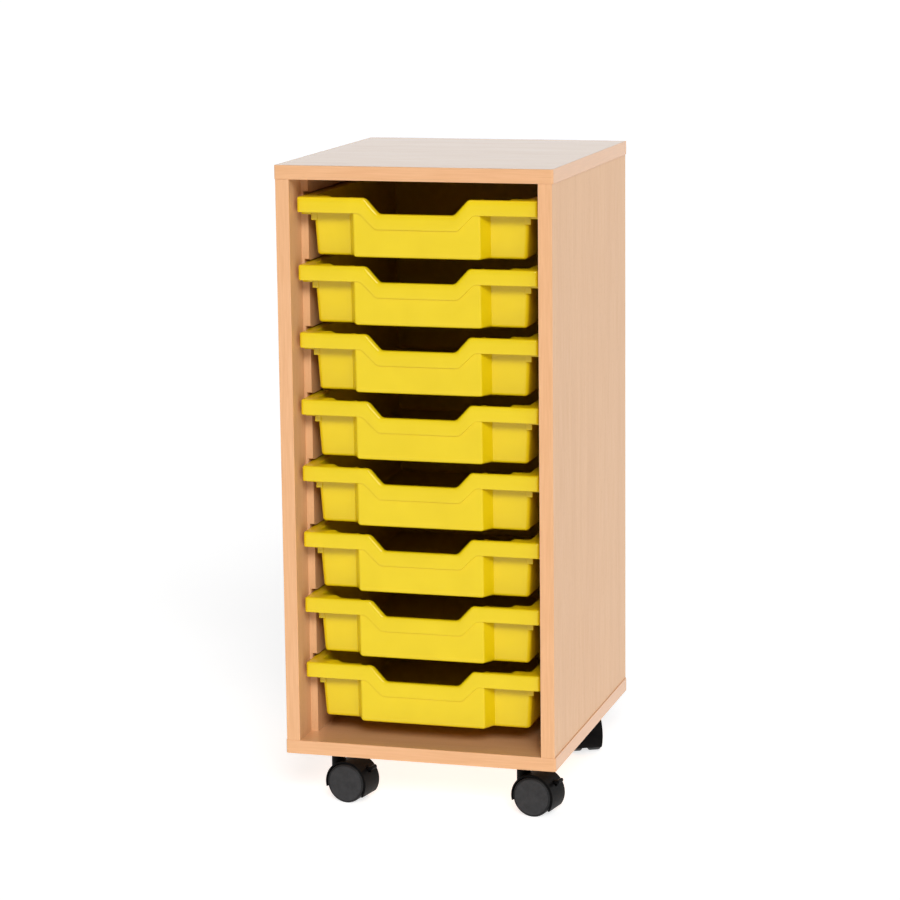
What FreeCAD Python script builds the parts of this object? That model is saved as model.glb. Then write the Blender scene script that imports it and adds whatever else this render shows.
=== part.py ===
import FreeCAD, Part
import math

# Classroom storage unit: a board carcass on four swivel castors, with eight shallow plastic trays
# that slide in grooved runner boards.
# Millimetres. Origin on the floor under the middle of the carcass, front towards -Y, +Z up.

# Tray: outside sizes and moulding
tray_count = 8
tray_width = 312.0
tray_length = 377.0
tray_height = 75.0
tray_wall = 2.2
skirt_thickness = 2.6
front_skirt_height = 19.5
side_skirt_height = 10.0
rim_corner_radius = 4.0
side_flange_width = 14.5
back_flange_width = 12.0
wing_recess = 18.5
bulge_recess = 1.0
bulge_half_width = 91.5
bulge_side_slant = 9.5
side_draft = 4.5
front_draft = 2.5
body_corner_radius = 6.0
bulge_corner_radius = 5.0
base_bevel = 3.0

# Tray: the dip in the front rim that a hand pulls
dip_depth = 20.0
dip_floor_half_width = 48.5
dip_half_width = 67.0
dip_round = 9.0
dip_skirt_floor_widening = 5.0
dip_skirt_top_widening = 7.0
dip_ledge_depth = 6.0

# Tray: stepped webs under the two ends of the front rim
web_setback = 11.4
web_step_width = 13.0
web_width = 26.0
web_outer_height = 25.0
web_inner_height = 32.5

# Carcass
board = 18.0
edging = 1.5
edging_round = 0.7
slab_corner_radius = 3.0
slab_overhang = 1.5
back_thickness = 4.0
back_rebate_width = 8.0
back_clearance = 0.5
tray_pitch = 86.0
gap_over_top_tray = 23.0
gap_under_bottom_tray = 26.0
tray_setback = 15.0
gap_behind_tray = 7.5

# Runner boards on the inner faces of the sides
runner_thickness = 9.5
groove_depth = 6.0
tray_side_gap = 1.0
groove_top_gap = 2.0
groove_floor_gap = 0.3
tray_stop_gap = 0.5
runner_setback = 46.0
runner_back_gap = 6.0
groove_flare = 2.0
groove_flare_length = 7.0

# Fasteners
dowel_diameter = 8.0
dowel_length = 35.0
dowel_in_slab = 12.0
dowel_edge_distance = 50.0
dowels_per_joint = 3
dowel_end_gap = 0.5
fastener_gap = 0.05
screw_diameter = 3.5
screw_head_diameter = 7.0
screw_head_height = 2.2
runner_screw_length = 22.0
runner_screw_edge_distance = 45.0
runner_screw_columns = 3
runner_screw_rows = 3
back_screw_length = 18.0
back_screws_per_side = 5
back_screw_edge_distance = 40.0

# Castors
castor_height = 70.0
castor_side_inset = 55.0
castor_end_inset = 50.0
castor_trail = 20.0
wheel_diameter = 52.0
wheel_width = 16.0
wheel_gap_half = 6.0
wheel_face_diameter = 47.0
wheel_face_dome = 0.8
wheel_edge_round = 2.2
hub_cap_thickness = 2.5
axle_diameter = 6.0
axle_end_gap = 0.5
running_clearance = 0.05
socket_flange_diameter = 17.0
socket_flange_thickness = 1.2
socket_diameter = 11.0
socket_length = 14.0
socket_floor = 1.5
stem_diameter = 8.0
stem_in_socket = 12.0
stem_floor = 2.0
stem_end_gap = 1.0
boss_diameter = 18.0
swivel_gap = 0.6
hood_gap = 1.0
hood_thickness = 2.2
hood_half_width = 20.0
hood_edge_round = 0.8
hood_trailing_angle = -35.0
hood_leading_angle = 194.0
web_half_thickness = 5.4
web_below_axle = 13.0

# Brake levers of the two front castors
lever_pivot_forward = 11.5
lever_pivot_above_axle = 14.0
lever_pin_diameter = 3.0
lever_hub_diameter = 7.0
lever_arm_half_thickness = 3.0
lever_arm_height = 4.4
lever_hood_gap = 0.8
lever_paddle_half_width = 7.5
lever_paddle_length = 7.0
lever_paddle_height = 4.6
lever_paddle_round = 1.6
lever_rise = 18.0
lever_travel = 12.0
lever_slot_gap = 0.5

castor_turns = {
    "front_left": -10.0,
    "front_right": -10.0,
    "rear_left": -38.0,
    "rear_right": -62.0,
}
braked_castors = ("front_left", "front_right")

# Sizes that follow from the ones above
inside_width = tray_width + 2 * (tray_side_gap + runner_thickness - groove_depth)
side_outer_x = inside_width / 2 + board
carcass_width = 2 * (side_outer_x + slab_overhang)
carcass_depth = tray_setback + tray_length + gap_behind_tray + back_thickness + slab_overhang
inside_height = (gap_over_top_tray + (tray_count - 1) * tray_pitch + tray_height
                 + gap_under_bottom_tray)
front_y = -carcass_depth / 2
back_y = carcass_depth / 2
side_back_y = back_y - slab_overhang
floor_of_bay = castor_height + board
top_of_bay = floor_of_bay + inside_height
tray_front_y = front_y + tray_setback
runner_front_y = front_y + runner_setback
runner_back_y = side_back_y - back_thickness - runner_back_gap
wheel_radius = wheel_diameter / 2
hood_inner_radius = wheel_radius + hood_gap
hood_outer_radius = hood_inner_radius + hood_thickness
boss_top = castor_height - socket_flange_thickness - swivel_gap
stem_bore_bottom = (wheel_radius + math.sqrt(hood_inner_radius ** 2 - castor_trail ** 2)
                    + stem_floor)
far = 2 * max(carcass_width, carcass_depth)

# The lever's arm is as long as keeps its paddle's lower inner corner, with the lever pressed right
# down, outside the hood by the gap. The corner is at corner_x, corner_z from the axle on an arm of
# no length, and moves along the pressed arm.
pressed_angle = math.radians(lever_rise - lever_travel)
corner_x = lever_pivot_forward + lever_paddle_height / 2 * math.sin(pressed_angle)
corner_z = lever_pivot_above_axle - lever_paddle_height / 2 * math.cos(pressed_angle)
corner_along = corner_x * math.cos(pressed_angle) + corner_z * math.sin(pressed_angle)
corner_reach = hood_outer_radius + lever_hood_gap
lever_arm_length = math.sqrt(corner_along ** 2 + corner_reach ** 2
                             - corner_x ** 2 - corner_z ** 2) - corner_along


def vec(x, y, z):
    """A point or direction."""
    return FreeCAD.Vector(x, y, z)


def block(x_range, y_range, z_range):
    """A box given by its low and high limits along each axis."""
    size = [high - low for low, high in (x_range, y_range, z_range)]
    return Part.makeBox(size[0], size[1], size[2], vec(x_range[0], y_range[0], z_range[0]))


def rod(radius, start, direction, length):
    """A cylinder from a start point along a direction."""
    return Part.makeCylinder(radius, length, start, direction)


def rounded_outline(points, radii, place):
    """A closed wire through 2-D points with an arc at each corner that has a radius.
    place turns a 2-D point into a 3-D one."""
    count = len(points)
    edges = []
    ends = []
    for i in range(count):
        corner = vec(points[i][0], points[i][1], 0)
        before = vec(points[i - 1][0], points[i - 1][1], 0) - corner
        after = vec(points[(i + 1) % count][0], points[(i + 1) % count][1], 0) - corner
        before.normalize()
        after.normalize()
        half_angle = before.getAngle(after) / 2
        if radii[i] <= 0:
            ends.append((corner, corner))
            continue
        reach = radii[i] / math.tan(half_angle)
        bisector = before + after
        bisector.normalize()
        centre = corner + bisector * (radii[i] / math.sin(half_angle))
        start = corner + before * reach
        finish = corner + after * reach
        middle = centre - bisector * radii[i]
        arc = [place(p.x, p.y) for p in (start, middle, finish)]
        edges.append((i, Part.Arc(arc[0], arc[1], arc[2]).toShape()))
        ends.append((start, finish))
    arcs = dict(edges)
    path = []
    for i in range(count):
        if i in arcs:
            path.append(arcs[i])
        start = ends[i][1]
        finish = ends[(i + 1) % count][0]
        line = Part.LineSegment(place(start.x, start.y), place(finish.x, finish.y))
        path.append(line.toShape())
    return Part.Wire(path)


def flat_prism(points, radii, z_range):
    """A plan outline raised from the first height to the second."""
    wire = rounded_outline(points, radii, lambda x, y: vec(x, y, z_range[0]))
    return Part.Face(wire).extrude(vec(0, 0, z_range[1] - z_range[0]))


def front_prism(points, radii, y_range):
    """An outline drawn in the XZ plane and carried back from the first depth to the second."""
    wire = rounded_outline(points, radii, lambda x, z: vec(x, y_range[0], z))
    return Part.Face(wire).extrude(vec(0, y_range[1] - y_range[0], 0))


def rectangle(x_range, y_range):
    """The four corners of a rectangle."""
    return [(x_range[0], y_range[0]), (x_range[1], y_range[0]),
            (x_range[1], y_range[1]), (x_range[0], y_range[1])]


def mirrored(shape):
    """The same shape on the other side of the YZ plane."""
    return shape.mirror(vec(0, 0, 0), vec(1, 0, 0))


def joined(shapes):
    """One solid from overlapping or touching solids."""
    return shapes[0].multiFuse(shapes[1:]).removeSplitter()


def evenly(first, last, count):
    """Evenly spaced places from first to last."""
    return [first + (last - first) * i / (count - 1) for i in range(count)]


def save(name, shape):
    """Write one piece, or one group of like pieces, as a STEP file."""
    shape.exportStep("parts/" + name + ".step")
    print(name, len(shape.Solids), round(shape.Volume / 1000, 2), shape.isValid())


# ---------------------------------------------------------------- trays

def tray_outline(side_in, front_in, back_in, inset):
    """Plan outline of the tray's body, with its forward bulge, and the radii of its corners.
    The first three arguments are the draft at this level; inset is the wall's thickness."""
    half = tray_width / 2 - side_flange_width - side_in - inset
    wing = wing_recess + front_in + inset
    nose = bulge_recess + front_in + inset
    rear = tray_length - back_flange_width - back_in - inset
    base = bulge_half_width - inset
    tip = bulge_half_width - bulge_side_slant - inset
    points = [(-half, wing), (-base, wing), (-tip, nose), (tip, nose),
              (base, wing), (half, wing), (half, rear), (-half, rear)]
    outer = body_corner_radius - inset
    hollow = bulge_corner_radius + inset
    nose_corner = bulge_corner_radius - inset
    radii = [outer, hollow, nose_corner, nose_corner, hollow, outer, outer, outer]
    return points, radii


def tray_level(inset, share, height, bevel=0.0):
    """The body's outline at a height; share runs from 0 at the rim to 1 at the base."""
    points, radii = tray_outline(side_draft * share + bevel, front_draft * share + bevel,
                                 side_draft * share + bevel, inset)
    return rounded_outline(points, radii, lambda x, y: vec(x, y, height))


def tray_tub(inset, depth):
    """The tapered tub down to a depth, with a bevel round its base."""
    bevel_top = depth - base_bevel
    levels = [tray_level(inset, 0.0, 0.0),
              tray_level(inset, bevel_top / tray_height, -bevel_top),
              tray_level(inset, depth / tray_height, -depth, base_bevel)]
    upper = Part.makeLoft(levels[:2], True, True)
    lower = Part.makeLoft(levels[1:], True, True)
    return joined([upper, lower])


def dip_line(floor_half, top_half, drop):
    """The line of the dipped rim, from left to right, lowered by a drop."""
    return [(-top_half, -drop), (-floor_half, -drop - dip_depth),
            (floor_half, -drop - dip_depth), (top_half, -drop)]


def dip_band(thickness, floor_widening, top_widening, reach):
    """Outline, in the XZ plane, of a band that follows the dipped rim, out to a reach each side."""
    upper = dip_line(dip_floor_half_width, dip_half_width, 0.0)
    lower = dip_line(dip_floor_half_width + floor_widening, dip_half_width + top_widening, thickness)
    points = ([(-reach, 0.0)] + upper + [(reach, 0.0), (reach, -thickness)] + lower[::-1]
              + [(-reach, -thickness)])
    radii = [0.0] + [dip_round] * 4 + [0.0, 0.0] + [dip_round] * 4 + [0.0]
    return points, radii


def end_web():
    """The stepped web under the left end of the front rim."""
    outer_x = -tray_width / 2 + rim_corner_radius - math.sqrt(
        max(rim_corner_radius ** 2 - max(rim_corner_radius - web_setback, 0.0) ** 2, 0.0))
    step_x = -tray_width / 2 + web_step_width
    inner_x = -tray_width / 2 + web_width
    y_range = (web_setback, web_setback + tray_wall)
    outer = block((outer_x, step_x + tray_wall), y_range, (-web_outer_height, -tray_wall / 2))
    inner = block((step_x, inner_x), y_range, (-web_inner_height, -tray_wall / 2))
    tie = block((inner_x - tray_wall, inner_x),
                (web_setback, wing_recess + front_draft + tray_wall / 2),
                (-web_inner_height, -tray_wall / 2))
    return joined([outer, inner, tie])


def make_tray():
    """One tray in its own frame: front face at y = 0, top of the rim at z = 0."""
    outer = rectangle((-tray_width / 2, tray_width / 2), (0.0, tray_length))
    inner = rectangle((-tray_width / 2 + skirt_thickness, tray_width / 2 - skirt_thickness),
                      (skirt_thickness, tray_length - skirt_thickness))
    outer_radii = [rim_corner_radius] * 4
    inner_radii = [rim_corner_radius - skirt_thickness] * 4
    deepest = dip_depth + front_skirt_height
    ring = flat_prism(outer, outer_radii, (-deepest, 0.0)).cut(
        flat_prism(inner, inner_radii, (-deepest, 0.0)))
    stop_y = runner_setback - tray_setback - tray_stop_gap
    side_skirt = ring.common(block((-tray_width, tray_width), (stop_y, tray_length),
                                   (-side_skirt_height, 0.0)))
    points, radii = dip_band(front_skirt_height, dip_skirt_floor_widening,
                             dip_skirt_top_widening, tray_width)
    front_skirt = ring.common(front_prism(points, radii, (0.0, stop_y)))
    plate = flat_prism(outer, outer_radii, (-tray_wall, 0.0))
    points, radii = dip_band(tray_wall, 0.0, 0.0, dip_half_width + dip_round)
    ledge = front_prism(points, radii, (0.0, dip_ledge_depth))
    tub = tray_tub(0.0, tray_height)
    web = end_web()
    above_dip = ([(-bulge_half_width, 0.0)] + dip_line(dip_floor_half_width, dip_half_width, 0.0)
                 + [(bulge_half_width, 0.0), (bulge_half_width, dip_depth),
                    (-bulge_half_width, dip_depth)])
    dip = front_prism(above_dip, [0.0] + [dip_round] * 4 + [0.0, 0.0, 0.0],
                      (-skirt_thickness, wing_recess))
    hollow = tray_tub(tray_wall, tray_height - tray_wall)
    shell = joined([plate, tub, side_skirt, front_skirt, web, mirrored(web)])
    shell = shell.cut(hollow).cut(dip)
    return joined([shell, ledge])


def make_trays():
    """All trays, from the top one down."""
    pattern = make_tray()
    for i in range(tray_count):
        tray = pattern.copy()
        tray.translate(vec(0, tray_front_y, rim_height(i)))
        save("tray_" + str(i + 1), tray)


def rim_height(index):
    """Height of the top of a tray's rim; the top tray has index 0."""
    return top_of_bay - gap_over_top_tray - index * tray_pitch


# ---------------------------------------------------------------- carcass

def dowel_places():
    """Middle of the slab's face over each dowel: x, y, the joint's height and the way up to the slab."""
    x = inside_width / 2 + board / 2
    ys = evenly(front_y + dowel_edge_distance, side_back_y - dowel_edge_distance, dowels_per_joint)
    return [(side * x, y, height, up) for side in (-1, 1) for y in ys
            for height, up in ((floor_of_bay, -1), (top_of_bay, 1))]


def dowels(gap, end_gap):
    """Dowels, or with a gap their holes, through the joints between slabs and sides."""
    pins = []
    for x, y, height, up in dowel_places():
        start = vec(x, y, height - up * (dowel_length - dowel_in_slab + end_gap))
        length = dowel_length + 2 * end_gap
        pins.append(rod(dowel_diameter / 2 + gap, start, vec(0, 0, up), length))
    return Part.makeCompound(pins)


def runner_screw_places():
    """Points on the right runner board's inner face where its screws go in."""
    x = inside_width / 2 - runner_thickness
    ys = evenly(runner_front_y + runner_screw_edge_distance,
                runner_back_y - runner_screw_edge_distance, runner_screw_columns)
    rest = side_skirt_height + groove_floor_gap
    land = (tray_pitch - rest - groove_top_gap) / 2
    rows = [round(row) for row in evenly(1, tray_count - 1, runner_screw_rows)]
    heights = [rim_height(row) - rest - land for row in rows]
    return [(x, y, z) for y in ys for z in heights]


def countersunk_screw(gap):
    """A countersunk screw along +X with its head's face at the origin."""
    head = Part.makeCone(screw_head_diameter / 2 + gap, screw_diameter / 2 + gap,
                         screw_head_height, vec(0, 0, 0), vec(1, 0, 0))
    shank = rod(screw_diameter / 2 + gap, vec(0, 0, 0), vec(1, 0, 0), runner_screw_length + gap)
    return joined([head, shank])


def runner_screws(gap):
    """All countersunk screws of the right runner board, or with a gap their holes."""
    pattern = countersunk_screw(gap)
    return Part.makeCompound([pattern.translated(vec(x, y, z))
                              for x, y, z in runner_screw_places()])


def back_screw_places():
    """Points on the back panel's rear face where its screws go in."""
    x = inside_width / 2 + back_rebate_width / 2
    zs = evenly(floor_of_bay + back_screw_edge_distance, top_of_bay - back_screw_edge_distance,
                back_screws_per_side)
    return [(side * x, side_back_y, z) for side in (-1, 1) for z in zs]


def back_screws(gap):
    """Pan-head screws of the back panel, or with a gap their holes."""
    screws = []
    for x, y, z in back_screw_places():
        shank = rod(screw_diameter / 2 + gap, vec(x, y, z), vec(0, -1, 0), back_screw_length + gap)
        if gap == 0:
            screws.append(joined([shank, back_screw_head(x, y, z)]))
        else:
            screws.append(shank)
    return Part.makeCompound(screws)


def back_screw_head(x, y, z):
    """The low head of one back panel screw, no prouder than the slabs' overhang."""
    return Part.makeCone(screw_head_diameter / 2, screw_head_diameter / 3, slab_overhang,
                         vec(x, y, z), vec(0, 1, 0))


def castor_axes():
    """Where each castor's stem stands."""
    x = carcass_width / 2 - castor_side_inset
    y = carcass_depth / 2 - castor_end_inset
    return {"front_left": (-x, -y), "front_right": (x, -y),
            "rear_left": (-x, y), "rear_right": (x, y)}


def socket_holes():
    """The holes in the bottom panel that the castor sockets are driven into."""
    return Part.makeCompound([rod(socket_diameter / 2 + fastener_gap, vec(x, y, castor_height),
                                  vec(0, 0, 1), socket_length + fastener_gap)
                              for x, y in castor_axes().values()])


def slab(bottom):
    """A top or bottom board inside its edging, and the edging round it."""
    heights = (bottom, bottom + board)
    x = carcass_width / 2
    core = block((-x + edging, x - edging), (front_y + edging, back_y - edging), heights)
    ring = flat_prism(rectangle((-x, x), (front_y, back_y)), [slab_corner_radius] * 4, heights)
    rims = [edge for edge in ring.Edges if edge.BoundBox.ZLength < edging]
    ring = ring.makeFillet(edging_round, rims)
    return core, ring.cut(core)


def make_slabs():
    """The top and bottom panels with their edgings."""
    joints = dowels(fastener_gap, dowel_end_gap)
    top, top_edging = slab(top_of_bay)
    bottom, bottom_edging = slab(castor_height)
    save("top_panel", top.cut(joints))
    save("top_edging", top_edging)
    save("bottom_panel", bottom.cut(joints).cut(socket_holes()))
    save("bottom_edging", bottom_edging)


def make_sides():
    """The two side panels, with their front edgings and the rebate for the back."""
    heights = (floor_of_bay, top_of_bay)
    inner = inside_width / 2
    side = block((inner, side_outer_x), (front_y + edging, side_back_y), heights)
    rebate = block((inner - edging, inner + back_rebate_width),
                   (side_back_y - back_thickness, side_back_y + edging), heights)
    strip = block((inner, side_outer_x), (front_y, front_y + edging), heights)
    corners = [edge for edge in strip.Edges
               if edge.BoundBox.ZLength > board and edge.BoundBox.YMax < front_y + edging / 2]
    strip = strip.makeFillet(edging_round, corners)
    joints = dowels(fastener_gap, dowel_end_gap)
    back_holes = back_screws(fastener_gap)
    runner_holes = runner_screws(fastener_gap)
    side = side.cut(rebate)
    save("right_side_panel", side.cut(joints).cut(back_holes).cut(runner_holes))
    save("left_side_panel", mirrored(side).cut(joints).cut(back_holes).cut(mirrored(runner_holes)))
    save("right_side_edging", strip)
    save("left_side_edging", mirrored(strip))


def make_back():
    """The back panel, let into the rebates of the sides between the two slabs."""
    half = inside_width / 2 + back_rebate_width - back_clearance
    panel = block((-half, half), (side_back_y - back_thickness, side_back_y),
                  (floor_of_bay + back_clearance, top_of_bay - back_clearance))
    save("back_panel", panel.cut(back_screws(fastener_gap)))


def make_runner_boards():
    """The two boards whose grooves carry the trays' side flanges."""
    wall = inside_width / 2
    face = wall - runner_thickness
    root = face + groove_depth
    runner = block((face, wall), (runner_front_y, runner_back_y), (floor_of_bay, top_of_bay))
    cutters = []
    for i in range(tray_count):
        low = rim_height(i) - side_skirt_height - groove_floor_gap
        high = rim_height(i) + groove_top_gap
        mouth = runner_front_y + groove_flare_length
        side_view = [(runner_front_y, low - groove_flare), (mouth, low), (runner_back_y, low),
                     (runner_back_y, high), (mouth, high), (runner_front_y, high + groove_flare)]
        wire = Part.makePolygon([vec(face, y, z) for y, z in side_view + side_view[:1]])
        cutters.append(Part.Face(wire).extrude(vec(root - face, 0, 0)))
    runner = runner.cut(Part.makeCompound(cutters)).cut(runner_screws(fastener_gap))
    save("right_runner_board", runner)
    save("left_runner_board", mirrored(runner))


def make_carcass_fasteners():
    """Dowels and screws, each kind as one group of separate solids."""
    save("carcass_dowels", dowels(0.0, 0.0))
    screws = runner_screws(0.0)
    save("runner_screws", Part.makeCompound(screws.Solids + mirrored(screws).Solids))
    save("back_panel_screws", back_screws(0.0))


# ---------------------------------------------------------------- castors
# Each castor is made about its own stem: stem axis on the Z axis, wheels trailing towards +X.

def castor_socket():
    """The steel socket sunk in the bottom panel, with a flange under it and a blind bore."""
    up = vec(0, 0, 1)
    flange_bottom = castor_height - socket_flange_thickness
    flange = rod(socket_flange_diameter / 2, vec(0, 0, flange_bottom), up, socket_flange_thickness)
    body = rod(socket_diameter / 2, vec(0, 0, castor_height), up, socket_length)
    bore = rod(stem_diameter / 2 + fastener_gap, vec(0, 0, flange_bottom), up,
               socket_flange_thickness + socket_length - socket_floor)
    return joined([flange, body]).cut(bore)


def castor_stem():
    """The steel pin held in the socket, which the housing turns on."""
    bottom = stem_bore_bottom + stem_end_gap
    return rod(stem_diameter / 2, vec(0, 0, bottom), vec(0, 0, 1),
               castor_height + stem_in_socket - bottom)


def hood_sector(radius, thickness, half_width, start_angle, end_angle):
    """Part of a tube round the axle, between two angles."""
    def spot(r, angle):
        turn = math.radians(angle)
        return vec(castor_trail + r * math.cos(turn), -half_width,
                   wheel_radius + r * math.sin(turn))
    middle = (start_angle + end_angle) / 2
    outer = radius + thickness
    edges = [
        Part.Arc(spot(outer, start_angle), spot(outer, middle), spot(outer, end_angle)).toShape(),
        Part.LineSegment(spot(outer, end_angle), spot(radius, end_angle)).toShape(),
        Part.Arc(spot(radius, end_angle), spot(radius, middle), spot(radius, start_angle)).toShape(),
        Part.LineSegment(spot(radius, start_angle), spot(outer, start_angle)).toShape(),
    ]
    return Part.Face(Part.Wire(edges)).extrude(vec(0, 2 * half_width, 0))


def castor_housing(braked):
    """The moulded hood, the web between the wheels and the boss round the stem."""
    axle_line = vec(castor_trail, -hood_half_width, wheel_radius)
    back = vec(0, 1, 0)
    hood = hood_sector(hood_inner_radius, hood_thickness, hood_half_width,
                       hood_trailing_angle, hood_leading_angle)
    rims = [edge for edge in hood.Edges
            if edge.BoundBox.YLength < hood_edge_round and edge.Length > hood_outer_radius
            and edge.Curve.Radius > hood_inner_radius + hood_thickness / 2]
    hood = hood.makeFillet(hood_edge_round, rims)
    boss = rod(boss_diameter / 2, vec(0, 0, wheel_radius), vec(0, 0, 1), boss_top - wheel_radius)
    boss = boss.cut(rod(hood_inner_radius, axle_line, back, 2 * hood_half_width))
    web = rod(hood_inner_radius + hood_thickness / 2,
              vec(castor_trail, -web_half_thickness, wheel_radius), back, 2 * web_half_thickness)
    web = web.cut(block((-far, far), (-far, far), (-far, wheel_radius - web_below_axle)))
    housing = joined([hood, boss, web])
    housing = housing.cut(rod(stem_diameter / 2 + running_clearance, vec(0, 0, stem_bore_bottom),
                              vec(0, 0, 1), castor_height - stem_bore_bottom))
    housing = housing.cut(rod(axle_diameter / 2 + fastener_gap, axle_line, back,
                              2 * hood_half_width))
    if braked:
        housing = housing.cut(lever_room()).cut(lever_pin(fastener_gap))
    return housing


def castor_axle():
    """The steel axle, held in the web."""
    half = wheel_gap_half + wheel_width - hub_cap_thickness - axle_end_gap
    return rod(axle_diameter / 2, vec(castor_trail, -half, wheel_radius), vec(0, 1, 0), 2 * half)


def castor_wheel():
    """The wheel on the far side, a turned shape with a domed face and a blind bore."""
    inner = wheel_gap_half
    outer = wheel_gap_half + wheel_width
    face = wheel_face_diameter / 2
    shoulder = outer - wheel_face_dome
    edge = wheel_edge_round
    bore = axle_diameter / 2 + running_clearance
    bore_end = outer - hub_cap_thickness
    centre = outer - (face ** 2 + wheel_face_dome ** 2) / (2 * wheel_face_dome)
    radius = outer - centre
    half_face = face / 2

    def spot(distance, y):
        return vec(castor_trail + distance, y, wheel_radius)

    dome_middle = spot(half_face, centre + math.sqrt(radius ** 2 - half_face ** 2))
    round_middle = spot(wheel_radius - edge + edge * math.sin(math.radians(45)),
                        shoulder - edge + edge * math.cos(math.radians(45)))
    lines = [
        (spot(0.0, bore_end), spot(0.0, outer)),
        (spot(face, shoulder), spot(wheel_radius - edge, shoulder)),
        (spot(wheel_radius, shoulder - edge), spot(wheel_radius, inner + edge / 2)),
        (spot(wheel_radius, inner + edge / 2), spot(wheel_radius - edge / 2, inner)),
        (spot(wheel_radius - edge / 2, inner), spot(bore, inner)),
        (spot(bore, inner), spot(bore, bore_end)),
        (spot(bore, bore_end), spot(0.0, bore_end)),
    ]
    edges = [Part.LineSegment(start, finish).toShape() for start, finish in lines]
    edges.append(Part.Arc(lines[0][1], dome_middle, lines[1][0]).toShape())
    edges.append(Part.Arc(lines[1][1], round_middle, lines[2][0]).toShape())
    profile = Part.Face(Part.Wire(Part.__sortEdges__(edges)))
    return profile.revolve(spot(0.0, 0.0), vec(0, 1, 0), 360)


def lever_pivot():
    """The point that a brake lever turns about, in the middle of the castor."""
    return vec(castor_trail + lever_pivot_forward, 0, wheel_radius + lever_pivot_above_axle)


def lever_pin(gap):
    """The pin through the web that carries the lever, or with a gap its hole."""
    pivot = lever_pivot()
    start = pivot - vec(0, web_half_thickness, 0)
    return rod(lever_pin_diameter / 2 + gap, start, vec(0, 1, 0), 2 * web_half_thickness)


def lever_parts(grow):
    """Hub and arm of the brake lever, raised by its rise angle, made larger by grow for its pocket."""
    pivot = lever_pivot()
    half = lever_arm_half_thickness + grow
    hub = rod(lever_hub_diameter / 2 + grow, pivot - vec(0, half, 0), vec(0, 1, 0), 2 * half)
    arm = block((0, lever_arm_length + grow), (-half, half),
                (-lever_arm_height / 2 - grow, lever_arm_height / 2 + grow))
    arm.rotate(vec(0, 0, 0), vec(0, 1, 0), -lever_rise)
    arm.translate(pivot)
    return joined([hub, arm])


def lever_room():
    """The pocket and slot that the lever sweeps through on its way down."""
    swept = []
    steps = 4
    for i in range(steps + 1):
        place = lever_parts(lever_slot_gap)
        place.rotate(lever_pivot(), vec(0, 1, 0), lever_travel * i / steps)
        swept.append(place)
    return joined(swept)


def brake_lever():
    """The lever: a hub on the pin, an arm between the wheels and a paddle for a toe."""
    body = lever_parts(0.0)
    pivot = lever_pivot()
    half = lever_paddle_half_width
    paddle = block((lever_arm_length, lever_arm_length + lever_paddle_length), (-half, half),
                   (-lever_paddle_height / 2, lever_paddle_height / 2))
    paddle = paddle.makeFillet(lever_paddle_round, paddle.Edges)
    neck = block((lever_arm_length - lever_paddle_round, lever_arm_length + lever_paddle_length / 2),
                 (-lever_arm_half_thickness, lever_arm_half_thickness),
                 (-lever_arm_height / 2, lever_arm_height / 2))
    paddle = joined([paddle, neck])
    paddle.rotate(vec(0, 0, 0), vec(0, 1, 0), -lever_rise)
    paddle.translate(pivot)
    lever = joined([body, paddle])
    return lever.cut(rod(lever_pin_diameter / 2 + running_clearance, pivot - vec(0, half, 0),
                         vec(0, 1, 0), 2 * half))


def set_in_place(shape, axis, turn):
    """A castor piece turned about its stem and stood at its place under the carcass."""
    placed = shape.copy()
    placed.rotate(vec(0, 0, 0), vec(0, 0, 1), turn)
    placed.translate(vec(axis[0], axis[1], 0))
    return placed


def make_castors():
    """The four castors; only the front two have brakes."""
    far_wheel = castor_wheel()
    near_wheel = far_wheel.mirror(vec(0, 0, 0), vec(0, 1, 0))
    for place, axis in castor_axes().items():
        pieces = {
            "castor_socket": castor_socket(),
            "castor_stem": castor_stem(),
            "castor_housing": castor_housing(place in braked_castors),
            "castor_axle": castor_axle(),
            "castor_near_wheel": near_wheel,
            "castor_far_wheel": far_wheel,
        }
        if place in braked_castors:
            pieces["brake_lever"] = brake_lever()
            pieces["brake_lever_pin"] = lever_pin(0.0)
        for name, shape in pieces.items():
            save(place + "_" + name, set_in_place(shape, axis, castor_turns[place]))


make_slabs()
make_sides()
make_back()
make_runner_boards()
make_carcass_fasteners()
make_trays()
make_castors()
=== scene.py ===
import math

import bmesh
import bpy
import numpy as np
from mathutils import Matrix, Vector


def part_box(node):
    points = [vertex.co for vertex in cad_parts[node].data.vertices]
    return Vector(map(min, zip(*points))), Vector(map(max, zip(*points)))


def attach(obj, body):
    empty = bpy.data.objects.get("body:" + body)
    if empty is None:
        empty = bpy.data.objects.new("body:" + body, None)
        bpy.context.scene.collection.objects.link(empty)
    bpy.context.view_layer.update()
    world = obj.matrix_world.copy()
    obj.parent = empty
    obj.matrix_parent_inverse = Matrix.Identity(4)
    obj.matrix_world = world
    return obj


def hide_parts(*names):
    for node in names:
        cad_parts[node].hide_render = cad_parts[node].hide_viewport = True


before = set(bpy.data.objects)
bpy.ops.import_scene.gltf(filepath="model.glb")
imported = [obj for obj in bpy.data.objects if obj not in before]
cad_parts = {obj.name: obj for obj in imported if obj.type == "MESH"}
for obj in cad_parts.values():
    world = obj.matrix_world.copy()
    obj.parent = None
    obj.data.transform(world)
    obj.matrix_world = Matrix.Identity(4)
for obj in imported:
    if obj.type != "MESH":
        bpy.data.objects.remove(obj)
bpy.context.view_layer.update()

# The dressed tray storage unit: moulded trays and castor wheels worked out as surfaces, and a finish
# for every board, edging, fastener and casting. Metres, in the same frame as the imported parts.

MM = 0.001

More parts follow.
